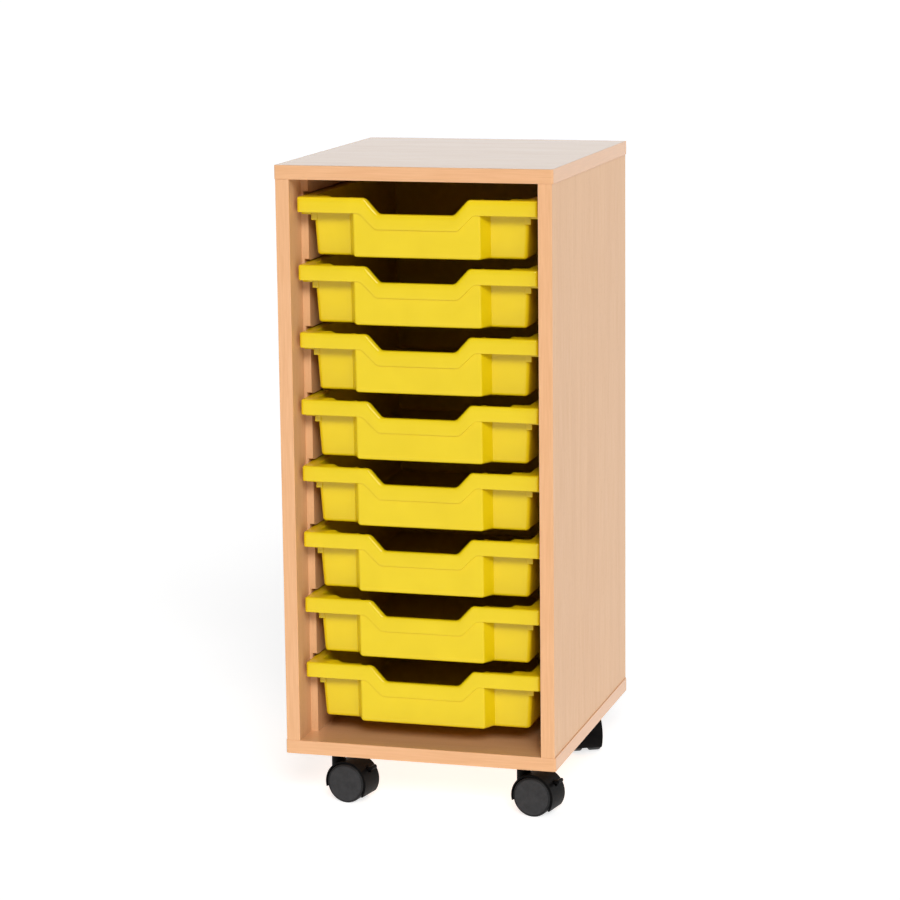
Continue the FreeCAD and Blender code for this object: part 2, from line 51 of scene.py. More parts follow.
# Tray moulding
tray_names = ["tray_%d" % (i + 1) for i in range(8)]
tray_low, tray_high = (np.array(corner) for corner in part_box(tray_names[0]))
tray_width, tray_length, tray_height = tray_high - tray_low
tray_wall = 2.2 * MM
skirt_thickness = 2.6 * MM
front_skirt_height = 19.5 * MM
side_skirt_height = 10.0 * MM
skirt_step_setback = 30.5 * MM
skirt_step_length = 2.4 * MM
rim_corner_radius = 4.0 * MM
rim_round = 2.5 * MM
slope_round_extra = 3.0 * MM
slope_drop_extra = 0.35
shelf_drop = 3.2 * MM
shelf_step = 0.6 * MM
shelf_end = 126.0 * MM
shelf_fade = 6.0 * MM
mouth_round = 0.8 * MM
skirt_edge_round = 0.8 * MM
skirt_inner_round = 0.4 * MM
side_flange_width = 14.5 * MM
back_flange_width = 12.0 * MM
wing_recess = 18.5 * MM
bulge_recess = 1.0 * MM
bulge_half_width = 91.5 * MM
bulge_side_slant = 9.5 * MM
side_draft = 4.5 * MM
front_draft = 2.5 * MM
body_corner_radius = 6.0 * MM
nose_corner_radius = 3.5 * MM
hollow_corner_radius = 1.2 * MM
least_radius = 0.4 * MM
base_round = 3.6 * MM
floor_round = 3.0 * MM
foot_width = 9.0 * MM
foot_step = 0.8 * MM

# The dip in the tray's front rim
dip_depth = 20.0 * MM
dip_floor_half_width = 48.5 * MM
dip_half_width = 67.0 * MM
dip_round = 9.0 * MM
dip_skirt_floor_widening = 5.0 * MM
dip_skirt_top_widening = 7.0 * MM
dip_ledge_depth = 6.0 * MM
ledge_end_fade = 4.0 * MM

# Stepped webs under the two ends of the tray's front rim
web_setback = 18.4 * MM
web_side_gap = 0.5 * MM
web_step_width = 13.0 * MM
web_width = 21.0 * MM
web_outer_height = 24.0 * MM
web_inner_height = 31.0 * MM
web_round = 0.6 * MM

# How finely the tray's skin is divided: steps round each bend, points along the straight runs of its
# outlines, and the shares of a height, or of the way out from the middle, at which its loops lie
corner_steps = 7
round_steps = 5
quarter_turn = np.linspace(0, math.pi / 2, round_steps)
nose_level_share = 0.52
nose_level_points = 8
nose_dip_points = 41
slant_points = 5
wing_points = 8
skirt_step_points = 8
skirt_step_spread = 0.7
side_points = 12
rear_points = 7
floor_shares = (0.02, 0.4, 0.75, 0.96)
inside_shares = (0.3, 0.6, 0.85, 1.0)
skirt_shares = (0.33, 0.67, 1.0)
outside_shares = (0.0, 0.03, 0.35, 0.7, 1.0)
foot_shares = (1.0, 0.75, 0.4, 0.02)

# Castor wheels. The shares are of the wheel's radius, and the disc's is of its face's radius; the
# groove's lip and foot are in its own size and the rounds' ends in degrees.
castor_places = ("front_left", "front_right", "rear_left", "rear_right")
wheel_steps = 96
wheel_radius = 26.0 * MM
wheel_inner = 6.0 * MM
wheel_outer = 22.0 * MM
hub_recess = 2.0 * MM
hub_middle_share = 0.001
hub_floor_share = 0.55
hub_edge_share = 0.62
inner_face_share = 0.80
tyre_round = 2.6 * MM
tyre_inner_round = 1.2 * MM
tyre_round_end = 82
disc_radius = 23.5 * MM
disc_dome = 0.9 * MM
disc_round = 0.7 * MM
disc_round_start = 8
disc_round_end = 84
disc_face_points = 14
disc_middle_share = 0.002
disc_groove = 0.6 * MM
groove_lip_out = 0.9
groove_lip_down = 0.1
groove_foot_out = 0.5
groove_foot_down = 1.6

# Camera: its place in metres, its angles in degrees, its focal length in pixels of a square picture
# that is frame_pixels wide, and its sensor's width in millimetres
camera_place = (1.085, -3.7895, 1.190)
camera_azimuth = 16.16
camera_pitch = 10.78
camera_roll = -0.64
focal_pixels = 3040
frame_pixels = 900
sensor_width = 36.0

# Broad lights: azimuth from the front towards the right, elevation and spread in degrees, and power
broad_lights = {"key_light": (20.0, 31.0, 18.0, 1.72),
                "left_fill": (-25.0, 30.0, 26.0, 0.22),
                "right_fill": (42.0, 30.0, 24.0, 0.46)}

# The tent of light. A direction is a unit vector, with Y to the back and Z up.
tent_turn = (-0.30, 0.30)
tent_front_to_back = (0.04, 1.0)
tent_climb = (0.20, 0.60)
tent_low_to_high = (1.15, 0.10)

# Floor: how far it reaches each way, in metres, and how strongly it glows
floor_reach = 60.0
floor_glow = 0.71

# Colours of the finishes, and how much brighter a black finish is where it is scuffed
beech_light = (0.80, 0.475, 0.25)
beech_middle = (0.765, 0.44, 0.225)
beech_dark = (0.60, 0.32, 0.145)
edging_light = (0.83, 0.46, 0.235)
edging_dark = (0.76, 0.40, 0.19)
edging_cloud = (0.93, 0.88, 0.82)
# The back board's browns are made very dark: painted shade for the dim inside of the unit, laid over the
# board's own brown.
back_shade_light = (0.10, 0.052, 0.028)
back_shade_dark = (0.045, 0.022, 0.012)
hardboard_cloud = (0.75, 0.72, 0.7)
tray_light = (0.81, 0.600, 0.005)
tray_dark = (0.77, 0.565, 0.003)
tray_scuff = (0.88, 0.72, 0.12)
castor_tone = (0.003, 0.0028, 0.0029)
tyre_tone = (0.009, 0.009, 0.0095)
disc_tone = (0.019, 0.0188, 0.0200)
steel_light = (0.66, 0.66, 0.64)
steel_dark = (0.50, 0.50, 0.49)
floor_light = (0.62, 0.62, 0.62)
floor_dark = (0.58, 0.58, 0.58)
scuff_gain = 1.9

# How strongly the finishes shine, what their clear coats are like, and how rough the floor is
laminate_shine = 0.2
level_coat = 0.75
upright_coat = 0.12
edging_coat = 0.6
coat_roughness = 0.16
coat_ior = 1.5
tray_shine = 0.42
castor_shine = 0.05
tyre_shine = 0.25
disc_shine = 0.30
floor_shine = 0.1
floor_roughness = 0.9

# The stretch that most of a noise's values fall in
noise_span = (0.3, 0.7)

# Sockets of Blender's Mix node, which has a set for plain values and another for colours
mix_factor = 0
mix_first_value, mix_second_value, mix_value_out = 2, 3, 0
mix_first_colour, mix_second_colour, mix_colour_out = 6, 7, 2


# ---------------------------------------------------------------- surfaces

def loft(rows):
    """A closed skin over a stack of closed loops: quads join each loop to the next, and the first and
    the last loop are closed by fans to their middle points."""
    count, around = rows.shape[:2]
    points = np.vstack([rows.reshape(-1, 3), rows[0].mean(axis=0), rows[-1].mean(axis=0)])
    row, spot = np.meshgrid(np.arange(count - 1), np.arange(around), indexing="ij")
    after = (spot + 1) % around
    quads = np.stack([row * around + spot, row * around + after,
                      (row + 1) * around + after, (row + 1) * around + spot], axis=-1)
    ring = np.arange(around)
    ring_after = (ring + 1) % around
    top = (count - 1) * around
    first = np.stack([np.full(around, count * around), ring_after, ring], axis=-1)
    last = np.stack([np.full(around, count * around + 1), top + ring, top + ring_after], axis=-1)
    return points, quads.reshape(-1, 4).tolist() + first.tolist() + last.tolist()


def joined(skins):
    """Several skins as one list of points and faces."""
    points, faces, start = [], [], 0
    for skin_points, skin_faces in skins:
        points.append(skin_points)
        faces += [[corner + start for corner in face] for face in skin_faces]
        start += len(skin_points)
    return np.vstack(points), faces


def new_piece(name, skin, body, replaced, materials):
    """A piece from a skin: doubled points are merged, faces turned outward and edges sharper than the
    crease angle kept crisp. It rides on a body and stands for a node."""
    crease_angle = math.radians(38)
    merge_distance = 0.001 * MM
    mesh = bpy.data.meshes.new(name)
    mesh.from_pydata(skin[0].tolist(), [], skin[1])
    work = bmesh.new()
    work.from_mesh(mesh)
    bmesh.ops.remove_doubles(work, verts=work.verts, dist=merge_distance)
    bmesh.ops.recalc_face_normals(work, faces=work.faces)
    work.to_mesh(mesh)
    work.free()
    mesh.shade_smooth()
    mesh.set_sharp_from_angle(angle=crease_angle)
    for material in materials:
        mesh.materials.append(material)
    piece = bpy.data.objects.new(name, mesh)
    bpy.context.scene.collection.objects.link(piece)
    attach(piece, body)
    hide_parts(replaced)
    return piece


def rounded_path(points, radii, lines, arc_steps):
    """Points along an open 2-D path with rounded inner corners. The arc at a corner touches each run
    at radius / tan(half angle) from the corner and its centre lies on the bisector, radius /
    sin(half angle) away; lines holds the shares at which each straight run is divided."""
    points = np.array(points)
    pieces = []
    start = points[0]
    for i, radius in enumerate(radii, start=1):
        before = points[i - 1] - points[i]
        after = points[i + 1] - points[i]
        before = before / np.linalg.norm(before)
        after = after / np.linalg.norm(after)
        half = math.acos(np.dot(before, after)) / 2
        reach = radius / math.tan(half)
        finish = points[i] + before * reach
        bisector = (before + after) / np.linalg.norm(before + after)
        centre = points[i] + bisector * radius / math.sin(half)
        pieces.append(start + (finish - start) * lines[i - 1][:, None])
        turn = (math.pi - 2 * half) * np.sign(before[0] * after[1] - before[1] * after[0])
        angle = -turn * np.arange(arc_steps) / arc_steps
        x, y = finish - centre
        pieces.append(centre + np.stack([x * np.cos(angle) - y * np.sin(angle),
                                         x * np.sin(angle) + y * np.cos(angle)], axis=-1))
        start = points[i] + after * reach
    pieces.append(start + (points[-1] - start) * lines[-1][:, None])
    return np.vstack(pieces)


def rounded_rectangle(half_width, half_height, radius, steps):
    """A closed loop of 2-D points: four quarter arcs about the corners of a smaller rectangle."""
    angle = np.linspace(0, math.pi / 2, steps + 1)
    quarters = [angle + i * math.pi / 2 for i in range(4)]
    corners = ((1, 1), (-1, 1), (-1, -1), (1, -1))
    return np.vstack([np.stack([side_x * (half_width - radius) + radius * np.cos(turn),
                                side_y * (half_height - radius) + radius * np.sin(turn)], axis=-1)
                      for turn, (side_x, side_y) in zip(quarters, corners)])


def soft_block(low, high, radius):
    """A box with rounded edges: rounded rectangles stacked along Z. At a turn t of the round at either
    end, radius * (1 - cos t) from that end, they are drawn in by nearly radius * (1 - sin t). The
    share that is left keeps an arc at the corners of the first and the last rectangle."""
    share_drawn = 0.98
    low, high = np.array(low), np.array(high)
    centre, half = (low + high) / 2, (high - low) / 2
    draw_in = radius * (1 - np.sin(quarter_turn)) * share_drawn
    rise = radius * (1 - np.cos(quarter_turn))
    rows = []
    for inset, height in list(zip(draw_in, rise - half[2])) + list(zip(draw_in, half[2] - rise))[::-1]:
        loop = rounded_rectangle(half[0] - inset, half[1] - inset, radius - inset, round_steps)
        rows.append(np.column_stack([loop, np.full(len(loop), height)]) + centre)
    return loft(np.array(rows))


def turned(profile, steps):
    """A skin of revolution about Z: each profile point (radius, height) runs round a full circle."""
    angle = np.arange(steps) * 2 * math.pi / steps
    radius, height = profile[:, :1], profile[:, 1:]
    return loft(np.stack([radius * np.cos(angle), radius * np.sin(angle),
                          height + 0 * angle], axis=-1))


# ---------------------------------------------------------------- trays

nose_line = np.concatenate([np.linspace(0, nose_level_share, nose_level_points)[:-1],
                            np.linspace(nose_level_share, 1, nose_dip_points)[:-1]])
slant_line = np.arange(slant_points) / slant_points
wing_line = np.arange(wing_points) / wing_points
rear_line = np.linspace(0, 1, rear_points)


def side_line():
    """Shares of the tray's long side, close together where the skirt steps up."""
    run = tray_length - 2 * rim_corner_radius
    step = (skirt_step_setback - rim_corner_radius) / run
    half = skirt_step_spread * skirt_step_length / run
    return np.concatenate([[0, step / 2], np.linspace(step - half, step + half, skirt_step_points),
                           np.linspace(2 * step, 1, side_points)[:-1]])


def tub_outline(inset, share):
    """Right half of the tub's plan outline, from the middle of its front to the middle of its back.
    inset moves it inward; share runs from 0 at the rim to 1 at the base and brings in the draft."""
    half = tray_width / 2 - side_flange_width - side_draft * share - inset
    wing = wing_recess + front_draft * share + inset
    nose = bulge_recess + front_draft * share + inset
    rear = tray_length - back_flange_width - side_draft * share - inset
    base = bulge_half_width - inset
    tip = bulge_half_width - bulge_side_slant - inset
    points = [(0, nose), (tip, nose), (base, wing), (half, wing), (half, rear), (0, rear)]
    outer = max(body_corner_radius - inset, least_radius)
    nose_corner = max(nose_corner_radius - inset, least_radius)
    radii = [nose_corner, hollow_corner_radius + inset, outer, outer]
    lines = [nose_line, slant_line, wing_line, side_line(), rear_line]
    return rounded_path(points, radii, lines, corner_steps)


# Points of a half outline that belong to its front, with the bends at both ends of the slanted run
front_count = len(nose_line) + len(slant_line) + len(wing_line) + 2 * corner_steps


def rim_outline(inset):
    """Right half of the rim's rounded rectangle. Along the bulge its points stand in front of the
    tub's, and beyond the bulge they are spread evenly on to the corner."""
    tub_x = tub_outline(0.0, 0.0)[:front_count + 1, 0]
    corner_x = tray_width / 2 - rim_corner_radius
    nose_end = bulge_half_width - bulge_side_slant - nose_corner_radius
    spread = (corner_x - nose_end) / (tub_x[-1] - nose_end)
    front_x = np.where(tub_x < nose_end, tub_x, nose_end + (tub_x - nose_end) * spread)
    points = [(0, inset), (tray_width / 2 - inset, inset),
              (tray_width / 2 - inset, tray_length - inset), (0, tray_length - inset)]
    radius = rim_corner_radius - inset
    lines = [front_x[:-1] / corner_x, side_line(), rear_line]
    return rounded_path(points, [radius, radius], lines, corner_steps)


def dip(x, floor_half, top_half):
    """How far the rim lies below its top at x: a level floor, an even slope and a level top, with an
    arc of the dip's radius at each bend."""
    away = np.abs(x)
    slope = math.atan2(dip_depth, top_half - floor_half)
    reach = dip_round * math.tan(slope / 2)
    top_centre = top_half + reach
    floor_centre = floor_half - reach
    straight = (top_half - away) * math.tan(slope)
    upper = dip_round - np.sqrt(np.clip(dip_round ** 2 - (top_centre - away) ** 2, 0, None))
    lower = dip_depth - dip_round + np.sqrt(np.clip(dip_round ** 2 - (away - floor_centre) ** 2, 0, None))
    return np.select([away >= top_centre, away >= top_half - reach * math.cos(slope),
                      away >= floor_half + reach * math.cos(slope), away >= floor_centre],
                     [0 * away, upper, straight, lower], dip_depth + 0 * away)


def smooth_step(share):
    """Runs from 0 to 1 with level ends: 3 s^2 - 2 s^3."""
    share = np.clip(share, 0, 1)
    return share * share * (3 - 2 * share)


def sunk(plan, front):
    """Where the top of the rim steps down behind its front band: 1 over the wings beside the bulge,
    fading to 0 at the bulge and towards the corner."""
    away = np.abs(plan[:, 0])
    rise = smooth_step((away - bulge_half_width) / shelf_fade + 0.5)
    return np.where(front, rise * (1 - smooth_step((away - shelf_end) / shelf_fade + 0.5)), 0.0)


def rounded_rim(share, slanted):
    """The rim's outline moved in by a share of its round, and by more where the dip slopes."""
    plan = rim_outline(rim_round * share)
    plan[:, 1] += slope_round_extra * share * slanted
    return plan


def upper_line(plan, front):
    """How far the rim's top lies below the tray's along an outline, where front marks the points of
    its front."""
    return np.where(front, dip(plan[:, 0], dip_floor_half_width, dip_half_width), 0.0)


def skirt_line(rim, front):
    """How far the skirt's lower edge lies below the tray's top: it follows a wider dip in front and
    steps up along the sides."""
    dipped = dip(rim[:, 0], dip_floor_half_width + dip_skirt_floor_widening,
                 dip_half_width + dip_skirt_top_widening)
    step = smooth_step((rim[:, 1] - skirt_step_setback) / skirt_step_length + 0.5)
    return (front_skirt_height + np.where(front, dipped, 0.0)
            - (front_skirt_height - side_skirt_height) * step)


def drafted(inset, depth):
    """The tub's outline at a depth, which may differ from point to point."""
    share = (depth / tray_height)[:, None]
    return tub_outline(inset, 0.0) * (1 - share) + tub_outline(inset, 1.0) * share


def shrunk(plan, share):
    """An outline drawn in to a share of its size about the tray's middle."""
    middle = np.array([0.0, tray_length / 2])
    return middle + (plan - middle) * share


def inside_loops(front, shelf):
    """From the middle of the floor over the floor's round, up the inside wall, over the ledge of the
    dip and round the mouth."""
    floor_depth = tray_height - tray_wall
    floor_edge = tub_outline(tray_wall + floor_round, 1.0)
    loops = [(shrunk(floor_edge, share), floor_depth) for share in floor_shares]
    loops += [(tub_outline(tray_wall + floor_round * (1 - math.sin(turn)), 1.0),
               floor_depth - floor_round * (1 - math.cos(turn))) for turn in quarter_turn]
    wall_top = tub_outline(tray_wall, 0.0)
    top = upper_line(wall_top, front) + shelf
    for share in inside_shares:
        depth = (floor_depth - floor_round) * (1 - share) + (top + tray_wall) * share
        loops.append((drafted(tray_wall, depth), depth))
    fade = (dip_half_width + dip_round - np.abs(wall_top[:, 0])) / ledge_end_fade
    ledge = np.where(front, (dip_ledge_depth - bulge_recess - tray_wall) * smooth_step(fade), 0.0)
    ledge = np.column_stack([0 * ledge, ledge])
    loops += [(drafted(tray_wall, depth) + ledge, depth)
              for depth in (top + tray_wall, top + mouth_round)]
    loops += [(tub_outline(tray_wall - mouth_round * (1 - math.cos(turn)), 0.0) + ledge,
               top + mouth_round * (1 - math.sin(turn))) for turn in quarter_turn[1:]]
    return loops


def rim_loops(rim, front, shelf, mouth):
    """From the mouth over the flat of the rim, round its edge and down the skirt's face. The steeper
    the dip slopes, the wider and deeper the round."""
    top = upper_line(rim, front)
    lower = skirt_line(rim, front)
    run = np.where(front, np.gradient(rim[:, 0]), 1.0)
    slope = np.where(front, np.abs(np.gradient(top) / run), 0.0)
    slanted = np.clip(slope * (dip_half_width - dip_floor_half_width) / dip_depth, 0, 1)
    shoulder = rim_round * np.hypot(1.0, slope) * (1 + slope_drop_extra * slanted)
    flat_edge = rounded_rim(1.0, slanted)
    middle = (mouth + flat_edge) / 2
    back_step = np.column_stack([0 * shelf, np.where(front, shelf_step, 0.0)])
    loops = [(middle, upper_line(middle, front) + shelf),
             (flat_edge + 2 * back_step, top + shelf), (flat_edge + back_step, top)]
    loops += [(rounded_rim(1 - math.sin(turn), slanted), top + shoulder * (1 - math.cos(turn)))
              for turn in quarter_turn]
    loops += [(rim, (top + shoulder) * (1 - share) + (lower - skirt_edge_round) * share)
              for share in skirt_shares]
    loops += [(rim_outline(skirt_edge_round * (1 - math.cos(turn))),
               lower - skirt_edge_round * (1 - math.sin(turn))) for turn in quarter_turn[1:]]
    return loops


def outside_loops(rim, front, shelf):
    """From the skirt's lower edge up inside it, along the underside of the rim, down the outside wall,
    round the base and under the foot. Behind the bulge, where the skirt lies on the tub's wall, the
    loops inside the skirt close up on each other."""
    lower = skirt_line(rim, front)
    behind = drafted(0.0, lower)
    closed = front & (behind[:, 1] < skirt_thickness)
    ceiling = upper_line(rim, front) + shelf + tray_wall
    inside_skirt = [(skirt_thickness - skirt_inner_round, lower),
                    (skirt_thickness, lower - skirt_inner_round),
                    (skirt_thickness, ceiling + skirt_inner_round),
                    (skirt_thickness + skirt_inner_round, ceiling)]
    loops = [(np.where(closed[:, None], behind, rim_outline(inset)), np.where(closed, lower, depth))
             for inset, depth in inside_skirt]
    start = np.where(closed, lower, ceiling)
    for share in outside_shares:
        depth = start * (1 - share) + (tray_height - base_round) * share
        loops.append((drafted(0.0, depth), depth))
    loops += [(tub_outline(base_round * (1 - math.cos(turn)), 1.0),
               tray_height - base_round * (1 - math.sin(turn))) for turn in quarter_turn[1:]]
    loops.append((tub_outline(base_round + foot_width, 1.0), tray_height))
    foot_inside = tub_outline(base_round + foot_width + foot_step, 1.0)
    loops += [(shrunk(foot_inside, share), tray_height - foot_step) for share in foot_shares]
    return loops


def tray_skin():
    """The tray in its own frame, front face at y = 0 and top of the rim at z = 0. It is one closed
    skin over loops. Each loop comes as its right half and its depth below the top; the left halves
    are mirrored here."""
    rim = rim_outline(0.0)
    front = np.arange(len(rim)) < front_count
    shelf = shelf_drop * sunk(rim, front)
    loops = inside_loops(front, shelf)
    mouth = loops[-1][0]
    loops += rim_loops(rim, front, shelf, mouth) + outside_loops(rim, front, shelf)
    half = np.array([np.column_stack([plan, -(depth + np.zeros(len(plan)))]) for plan, depth in loops])
    mirror = half[:, -2:0:-1] * np.array([-1, 1, 1])
    return loft(np.concatenate([half, mirror], axis=1))


def web_skins():
    """The stepped webs under both ends of the front rim: two upright plates level with the tub's wing,
    the inner one running into the tub's side."""
    left = -tray_width / 2
    outer_x = left + web_side_gap
    step_x = left + web_step_width
    inner_x = left + web_width
    front_y, back_y = web_setback, web_setback + tray_wall
    top = -tray_wall / 2
    blocks = [((outer_x, front_y, -web_outer_height), (step_x + tray_wall, back_y, top)),
              ((step_x, front_y, -web_inner_height), (inner_x, back_y, top))]
    skins = []
    for low, high in blocks:
        skins.append(soft_block(low, high, web_round))
        skins.append(soft_block((-high[0], low[1], low[2]), (-low[0], high[1], high[2]), web_round))
    return skins


def make_trays(material):
    """The eight trays, each at its own node's place and riding on its own body."""
    points, faces = joined([tray_skin()] + web_skins())
    for name in tray_names:
        low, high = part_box(name)
        place = np.array([0.0, low[1], high[2]])
        new_piece(name + "_moulding", (points + place, faces), name + "_body", name,
                  [material])


# ---------------------------------------------------------------- castor wheels

def arc(centre, radius, first, last):
    """Points (radius, height) of an arc about a centre, between two angles in degrees."""
    angle = np.radians(np.linspace(first, last, round_steps + 2))
    return np.column_stack([centre[0] + radius * np.cos(angle), centre[1] + radius * np.sin(angle)])


def wheel_profile():
    """Half section of one wheel, (radius, height out from the castor's middle), from the axis on the
    inner side round to the axis on the outer side. The disc's face is a parabola, dome * (r / R)^2
    lower at radius r than at the middle, and a groove parts it from the tyre."""
    shoulder = wheel_outer - disc_dome
    tread_in, tread_out = wheel_inner + tyre_inner_round, shoulder - tyre_round
    hub_floor = wheel_inner + hub_recess
    inner = [(hub_middle_share, hub_floor), (hub_floor_share, hub_floor),
             (hub_edge_share, wheel_inner), (inner_face_share, wheel_inner)]
    inner = np.array([(share * wheel_radius, height) for share, height in inner])
    groove = [(disc_radius + disc_groove * groove_lip_out, shoulder - disc_groove * groove_lip_down),
              (disc_radius + disc_groove * groove_foot_out, shoulder - disc_groove * groove_foot_down),
              (disc_radius, shoulder - disc_groove)]
    face_radius = disc_radius - disc_round
    face = face_radius * np.linspace(1, disc_middle_share, disc_face_points)
    return np.vstack([
        inner,
        arc((wheel_radius - tyre_inner_round, tread_in), tyre_inner_round, -90, 0),
        arc((wheel_radius - tyre_round, tread_out), tyre_round, 0, tyre_round_end),
        groove,
        arc((face_radius, shoulder - disc_round), disc_round, disc_round_start, disc_round_end),
        np.column_stack([face, wheel_outer - disc_dome * (face / face_radius) ** 2])])


def make_wheels(tyre, disc):
    """Two wheels on each castor, on the line through the middles of that castor's two wheels. A face
    is the disc's where it lies inside the disc's radius on the outer side."""
    points, faces = turned(wheel_profile(), wheel_steps)
    for castor in castor_places:
        names = [castor + "_castor_" + side + "_wheel" for side in ("near", "far")]
        middles = [(np.array(low) + np.array(high)) / 2 for low, high in map(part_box, names)]
        middle = (middles[0] + middles[1]) / 2
        outward = (middles[1] - middles[0]) / np.linalg.norm(middles[1] - middles[0])
        for name, side in zip(names, (-1, 1)):
            axis = outward * side
            across = np.cross((0, 0, 1), axis)
            frame_axes = np.array([across, (0, 0, 1), axis])
            piece = new_piece(name + "_turned", (points @ frame_axes + middle, faces), name + "_body",
                              name, [tyre, disc])
            centres = np.empty(3 * len(piece.data.polygons))
            piece.data.polygons.foreach_get("center", centres)
            local = (centres.reshape(-1, 3) - middle) @ frame_axes.T
            on_disc = ((np.hypot(local[:, 0], local[:, 1]) < disc_radius)
                       & (local[:, 2] > (wheel_inner + wheel_outer) / 2))
            piece.data.polygons.foreach_set("material_index", on_disc.astype(np.int32))


# ---------------------------------------------------------------- camera and light

def aim_camera():
    """A long lens from the right of the front and a little above, leaning by the roll."""
    azimuth, pitch, roll = map(math.radians, (camera_azimuth, camera_pitch, camera_roll))
    forward = Vector((-math.sin(azimuth) * math.cos(pitch), math.cos(azimuth) * math.cos(pitch),
                      -math.sin(pitch)))
    level = Vector((math.cos(azimuth), math.sin(azimuth), 0))
    right = level * math.cos(roll) + level.cross(forward) * math.sin(roll)
    turn = Matrix((right, right.cross(forward), -forward)).transposed()
    camera = bpy.data.objects.new("camera", bpy.data.cameras.new("camera"))
    camera.matrix_world = Matrix.Translation(camera_place) @ turn.to_4x4()
    camera.data.sensor_width = sensor_width
    camera.data.lens = focal_pixels / frame_pixels * sensor_width
    bpy.context.scene.collection.objects.link(camera)
    bpy.context.scene.camera = camera


def add_broad_light(name, azimuth, elevation, spread, power):
    """A broad light from far away. The azimuth is counted from the front towards the right."""
    turn, lift = math.radians(azimuth), math.radians(elevation)
    light = bpy.data.lights.new(name, "SUN")
    light.energy = power
    light.angle = math.radians(spread)
    lamp = bpy.data.objects.new(name, light)
    travel = Vector((-math.sin(turn) * math.cos(lift), math.cos(turn) * math.cos(lift),
                     -math.sin(lift)))
    lamp.rotation_euler = travel.to_track_quat("-Z", "Y").to_euler()
    bpy.context.scene.collection.objects.link(lamp)


def light_studio():
    """A tent of light, bright round the back and sides at the height of the horizon, dim overhead and
    in front, a key light from the right of the front and a weaker one on each side of it."""
    world = bpy.data.worlds.new("studio")
    world.use_nodes = True
    tree = world.node_tree
    background = tree.nodes["Background"]
    direction = tree.nodes.new("ShaderNodeTexCoord").outputs["Generated"]
    parts = add_node(tree, "ShaderNodeSeparateXYZ", {"Vector": direction}).outputs
    round_back = ranged(tree, parts["Y"], tent_turn, tent_front_to_back)
    tent = ranged(tree, parts["Z"], tent_climb, tent_low_to_high)
    strength = add_node(tree, "ShaderNodeMath", {0: tent, 1: round_back}, operation="MULTIPLY")
    tree.links.new(strength.outputs["Value"], background.inputs["Strength"])
    background.inputs["Color"].default_value = (1, 1, 1, 1)
    bpy.context.scene.world = world
    for name, (azimuth, elevation, spread, power) in broad_lights.items():
        add_broad_light(name, azimuth, elevation, spread, power)
    bpy.context.scene.view_settings.view_transform = "Standard"


# ---------------------------------------------------------------- patterns

def new_material(name):
    """A material with nodes, its tree and its main shader."""
    material = bpy.data.materials.new(name)
    material.use_nodes = True
    return material, material.node_tree, material.node_tree.nodes["Principled BSDF"]


def add_node(tree, kind, inputs, **settings):
    """A node of a kind. inputs gives each socket a value, or a link from another node's output."""
    node = tree.nodes.new(kind)
    for name, value in settings.items():
        setattr(node, name, value)
    for name, value in inputs.items():
        if isinstance(value, bpy.types.NodeSocket):
            tree.links.new(value, node.inputs[name])
        else:
            node.inputs[name].default_value = value
    return node


def noise(tree, scale, detail, roughness, distortion=0.0, stretch=(1.0, 1.0, 1.0)):
    """Noise between 0 and 1 over object coordinates, in metres. A stretch below 1 draws the pattern
    out along its axis."""
    place = tree.nodes.new("ShaderNodeTexCoord").outputs["Object"]
    place = add_node(tree, "ShaderNodeMapping", {"Vector": place, "Scale": stretch}).outputs["Vector"]
    return add_node(tree, "ShaderNodeTexNoise",
                    {"Vector": place, "Scale": scale, "Detail": detail, "Roughness": roughness,
                     "Distortion": distortion}).outputs["Fac"]


def ramp(tree, factor, stops):
    """Colours along a factor; stops are (place, colour) pairs."""
    node = add_node(tree, "ShaderNodeValToRGB", {"Fac": factor})
    for element, (place, colour) in zip(node.color_ramp.elements, stops):
        element.position = place
        element.color = (*colour, 1)
    return node.outputs["Color"]


def mixed(tree, kind, factor, pattern, colour):
    """A colour pattern mixed with one even colour, by a factor."""
    node = tree.nodes.new("ShaderNodeMix")
    node.data_type = "RGBA"
    node.blend_type = kind
    tree.links.new(factor, node.inputs[mix_factor])
    tree.links.new(pattern, node.inputs[mix_first_colour])
    node.inputs[mix_second_colour].default_value = (*colour, 1)
    return node.outputs[mix_colour_out]


def blended(tree, factor, first, second):
    """Two values mixed by a factor."""
    node = tree.nodes.new("ShaderNodeMix")
    tree.links.new(factor, node.inputs[mix_factor])
    tree.links.new(first, node.inputs[mix_first_value])
    tree.links.new(second, node.inputs[mix_second_value])
    return node.outputs[mix_value_out]


def ranged(tree, value, source, target):
    """A value mapped from one range, a (low, high) pair, to another."""
    inputs = {"Value": value, "From Min": source[0], "From Max": source[1],
              "To Min": target[0], "To Max": target[1]}
    return add_node(tree, "ShaderNodeMapRange", inputs).outputs["Result"]


def faced(tree, shader, colour, grain, roughness, relief, depth):
    """Gives a shader its colour, and a roughness and a fine relief that follow one grain."""
    tree.links.new(colour, shader.inputs["Base Color"])
    tree.links.new(ranged(tree, grain, noise_span, roughness), shader.inputs["Roughness"])
    bump = add_node(tree, "ShaderNodeBump", {"Height": grain, "Strength": relief, "Distance": depth})
    tree.links.new(bump.outputs["Normal"], shader.inputs["Normal"])


# ---------------------------------------------------------------- materials

def satin_coat(shader, weight):
    """The clear face of a laminate, which shines only where it is seen at a low angle."""
    shader.inputs["Specular IOR Level"].default_value = laminate_shine
    shader.inputs["Coat Weight"].default_value = weight
    shader.inputs["Coat Roughness"].default_value = coat_roughness
    shader.inputs["Coat IOR"].default_value = coat_ior


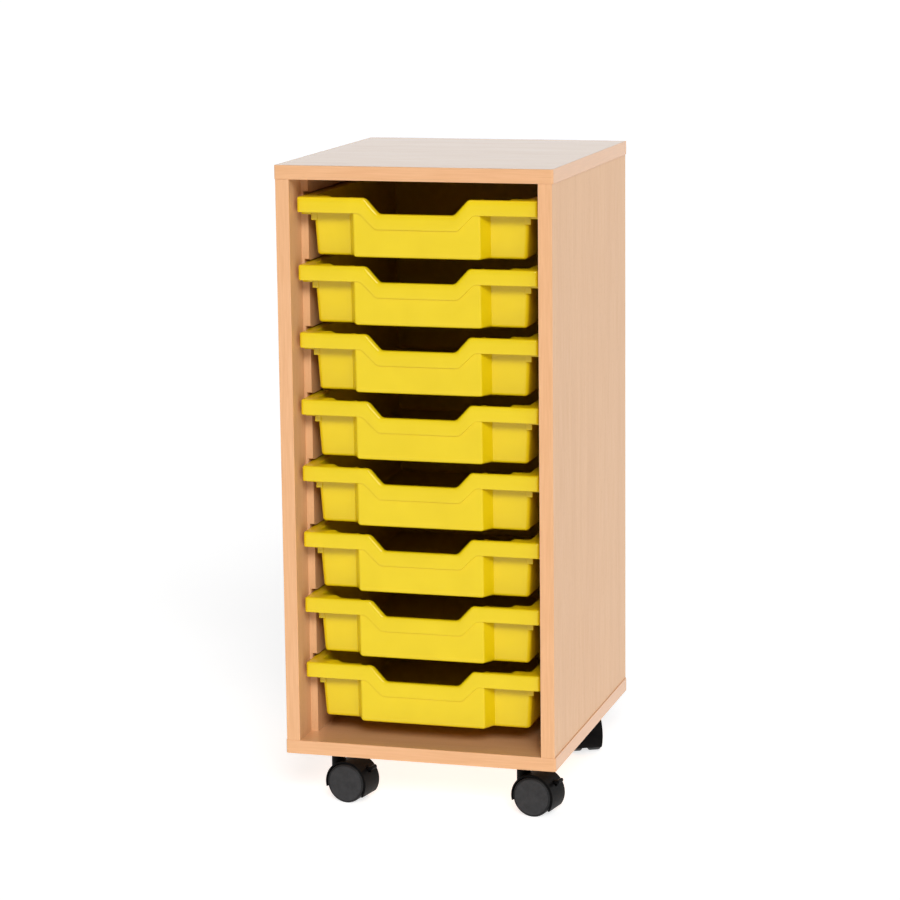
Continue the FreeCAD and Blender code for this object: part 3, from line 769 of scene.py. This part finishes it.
def beech_laminate(name, grain_axis, coat):
    """Beech-faced board: broad soft streaks along the grain, finer streaks over them and short dark
    flecks."""
    material, tree, shader = new_material(name)

    def along_grain(share):
        stretch = [1.0, 1.0, 1.0]
        stretch[grain_axis] = share
        return stretch

    broad = noise(tree, scale=34.0, detail=3.0, roughness=0.55, distortion=0.6, stretch=along_grain(0.07))
    fine = noise(tree, scale=420.0, detail=3.0, roughness=0.6, stretch=along_grain(0.03))
    fleck = noise(tree, scale=900.0, detail=1.0, roughness=0.5, stretch=along_grain(0.16))
    colour = ramp(tree, broad, [(0.30, beech_middle), (0.62, beech_light)])
    streaks = ranged(tree, fine, source=(0.35, 0.7), target=(0.0, 0.20))
    colour = mixed(tree, "MIX", streaks, colour, beech_dark)
    spots = ranged(tree, fleck, source=(0.62, 0.74), target=(0.0, 0.42))
    colour = mixed(tree, "MIX", spots, colour, beech_dark)
    faced(tree, shader, colour, fine, roughness=(0.34, 0.44), relief=0.25, depth=0.05 * MM)
    satin_coat(shader, coat)
    return material


def plastic_edging(name, upright):
    """Edging band in a beech print: a plainer, warmer tone with faint streaks along the band. On the
    level bands the streaks follow X, or Y where the surface faces left or right."""
    material, tree, shader = new_material(name)
    along = 0.04

    def streaked(stretch):
        return noise(tree, scale=500.0, detail=3.0, roughness=0.6, stretch=stretch)

    if upright:
        streaks = streaked((1.0, 1.0, along))
    else:
        facing = tree.nodes.new("ShaderNodeTexCoord").outputs["Normal"]
        facing = add_node(tree, "ShaderNodeSeparateXYZ", {"Vector": facing}).outputs["X"]
        sideways = add_node(tree, "ShaderNodeMath", {0: facing}, operation="ABSOLUTE").outputs["Value"]
        sideways = ranged(tree, sideways, source=(0.45, 0.55), target=(0.0, 1.0))
        streaks = blended(tree, sideways, streaked((along, 1.0, 1.0)), streaked((1.0, along, 1.0)))
    clouds = noise(tree, scale=14.0, detail=2.0, roughness=0.5)
    colour = ramp(tree, streaks, [(0.3, edging_dark), (0.7, edging_light)])
    patches = ranged(tree, clouds, noise_span, target=(0.0, 0.25))
    colour = mixed(tree, "MULTIPLY", patches, colour, edging_cloud)
    faced(tree, shader, colour, streaks, roughness=(0.36, 0.46), relief=0.15, depth=0.04 * MM)
    satin_coat(shader, edging_coat)
    return material


def hardboard():
    """Brown fibre board with a fine mottle. Its brown is made very dark to paint the shade inside the
    unit.
    """
    material, tree, shader = new_material("back_board_painted_shade")
    fibres = noise(tree, scale=700.0, detail=4.0, roughness=0.65)
    clouds = noise(tree, scale=9.0, detail=3.0, roughness=0.5)
    colour = ramp(tree, fibres, [(0.3, back_shade_dark), (0.72, back_shade_light)])
    patches = ranged(tree, clouds, noise_span, target=(0.0, 0.5))
    colour = mixed(tree, "MULTIPLY", patches, colour, hardboard_cloud)
    faced(tree, shader, colour, fibres, roughness=(0.5, 0.7), relief=0.4, depth=0.08 * MM)
    return material


def tray_plastic():
    """Yellow moulded plastic: a fine spark-eroded grain, slight flow clouds and a satin shine."""
    material, tree, shader = new_material("tray_yellow")
    clouds = noise(tree, scale=22.0, detail=3.0, roughness=0.5, distortion=0.4)
    grain = noise(tree, scale=2600.0, detail=2.0, roughness=0.6)
    scuffs = noise(tree, scale=160.0, detail=4.0, roughness=0.7, stretch=(1.0, 0.25, 1.0))
    colour = ramp(tree, clouds, [(0.3, tray_dark), (0.7, tray_light)])
    marks = ranged(tree, scuffs, source=(0.66, 0.8), target=(0.0, 0.12))
    colour = mixed(tree, "MIX", marks, colour, tray_scuff)
    faced(tree, shader, colour, grain, roughness=(0.20, 0.29), relief=0.22, depth=0.03 * MM)
    shader.inputs["Specular IOR Level"].default_value = tray_shine
    return material


def moulded_black(name, tone, shine, roughness):
    """Black moulded plastic with a fine grain and faint scuffs."""
    material, tree, shader = new_material(name)
    grain = noise(tree, scale=1800.0, detail=2.0, roughness=0.6)
    scuffs = noise(tree, scale=120.0, detail=4.0, roughness=0.7)
    scuffed = tuple(scuff_gain * part for part in tone)
    colour = ramp(tree, scuffs, [(0.35, tone), (0.8, scuffed)])
    faced(tree, shader, colour, grain, roughness, relief=0.25, depth=0.04 * MM)
    shader.inputs["Specular IOR Level"].default_value = shine
    return material


def bright_steel():
    """Zinc-plated steel with a faint cloudy tarnish."""
    material, tree, shader = new_material("plated_steel")
    clouds = noise(tree, scale=260.0, detail=4.0, roughness=0.6)
    colour = ramp(tree, clouds, [(0.3, steel_dark), (0.7, steel_light)])
    faced(tree, shader, colour, clouds, roughness=(0.28, 0.42), relief=0.1, depth=0.03 * MM)
    shader.inputs["Metallic"].default_value = 1.0
    return material


def pale_floor():
    """A matt pale face with faint clouds, lit from below as a light table is."""
    material, tree, shader = new_material("pale_floor")
    clouds = noise(tree, scale=3.0, detail=2.0, roughness=0.5)
    colour = ramp(tree, clouds, [(0.3, floor_dark), (0.7, floor_light)])
    tree.links.new(colour, shader.inputs["Base Color"])
    shader.inputs["Roughness"].default_value = floor_roughness
    shader.inputs["Specular IOR Level"].default_value = floor_shine
    shader.inputs["Emission Color"].default_value = (1, 1, 1, 1)
    shader.inputs["Emission Strength"].default_value = floor_glow
    return material


# ---------------------------------------------------------------- the scene

def lay_floor():
    """A wide level square that the castors stand on."""
    reach = floor_reach
    corners = [(-reach, -reach, 0), (reach, -reach, 0), (reach, reach, 0), (-reach, reach, 0)]
    mesh = bpy.data.meshes.new("floor")
    mesh.from_pydata(corners, [], [(0, 1, 2, 3)])
    mesh.materials.append(pale_floor())
    floor = bpy.data.objects.new("floor", mesh)
    bpy.context.scene.collection.objects.link(floor)


def finish_nodes():
    """Gives the boards, edgings, fasteners and castings their finishes, each found by the longest
    ending that its node's name has."""
    level_beech = beech_laminate("beech_across", 0, level_coat)
    deep_beech = beech_laminate("beech_along", 1, level_coat)
    upright_beech = beech_laminate("beech_upright", 2, upright_coat)
    level_edging = plastic_edging("edging_level", upright=False)
    upright_edging = plastic_edging("edging_upright", upright=True)
    steel = bright_steel()
    housing = moulded_black("castor_black", castor_tone, castor_shine, roughness=(0.40, 0.52))
    finishes = {"top_panel": level_beech, "bottom_panel": level_beech, "side_panel": upright_beech,
                "runner_board": upright_beech, "edging": level_edging, "side_edging": upright_edging,
                "back_panel": hardboard(), "dowels": deep_beech, "screws": steel,
                "castor_socket": steel, "castor_stem": steel, "castor_axle": steel,
                "lever_pin": steel, "castor_housing": housing, "brake_lever": housing}
    for name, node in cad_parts.items():
        matches = [ending for ending in finishes if name.endswith(ending)]
        if matches:
            for slot in node.material_slots:
                slot.material = finishes[max(matches, key=len)]


aim_camera()
light_studio()
lay_floor()
finish_nodes()
make_trays(tray_plastic())
make_wheels(moulded_black("tyre_black", tyre_tone, tyre_shine, roughness=(0.45, 0.6)),
            moulded_black("disc_grey", disc_tone, disc_shine, roughness=(0.42, 0.55)))
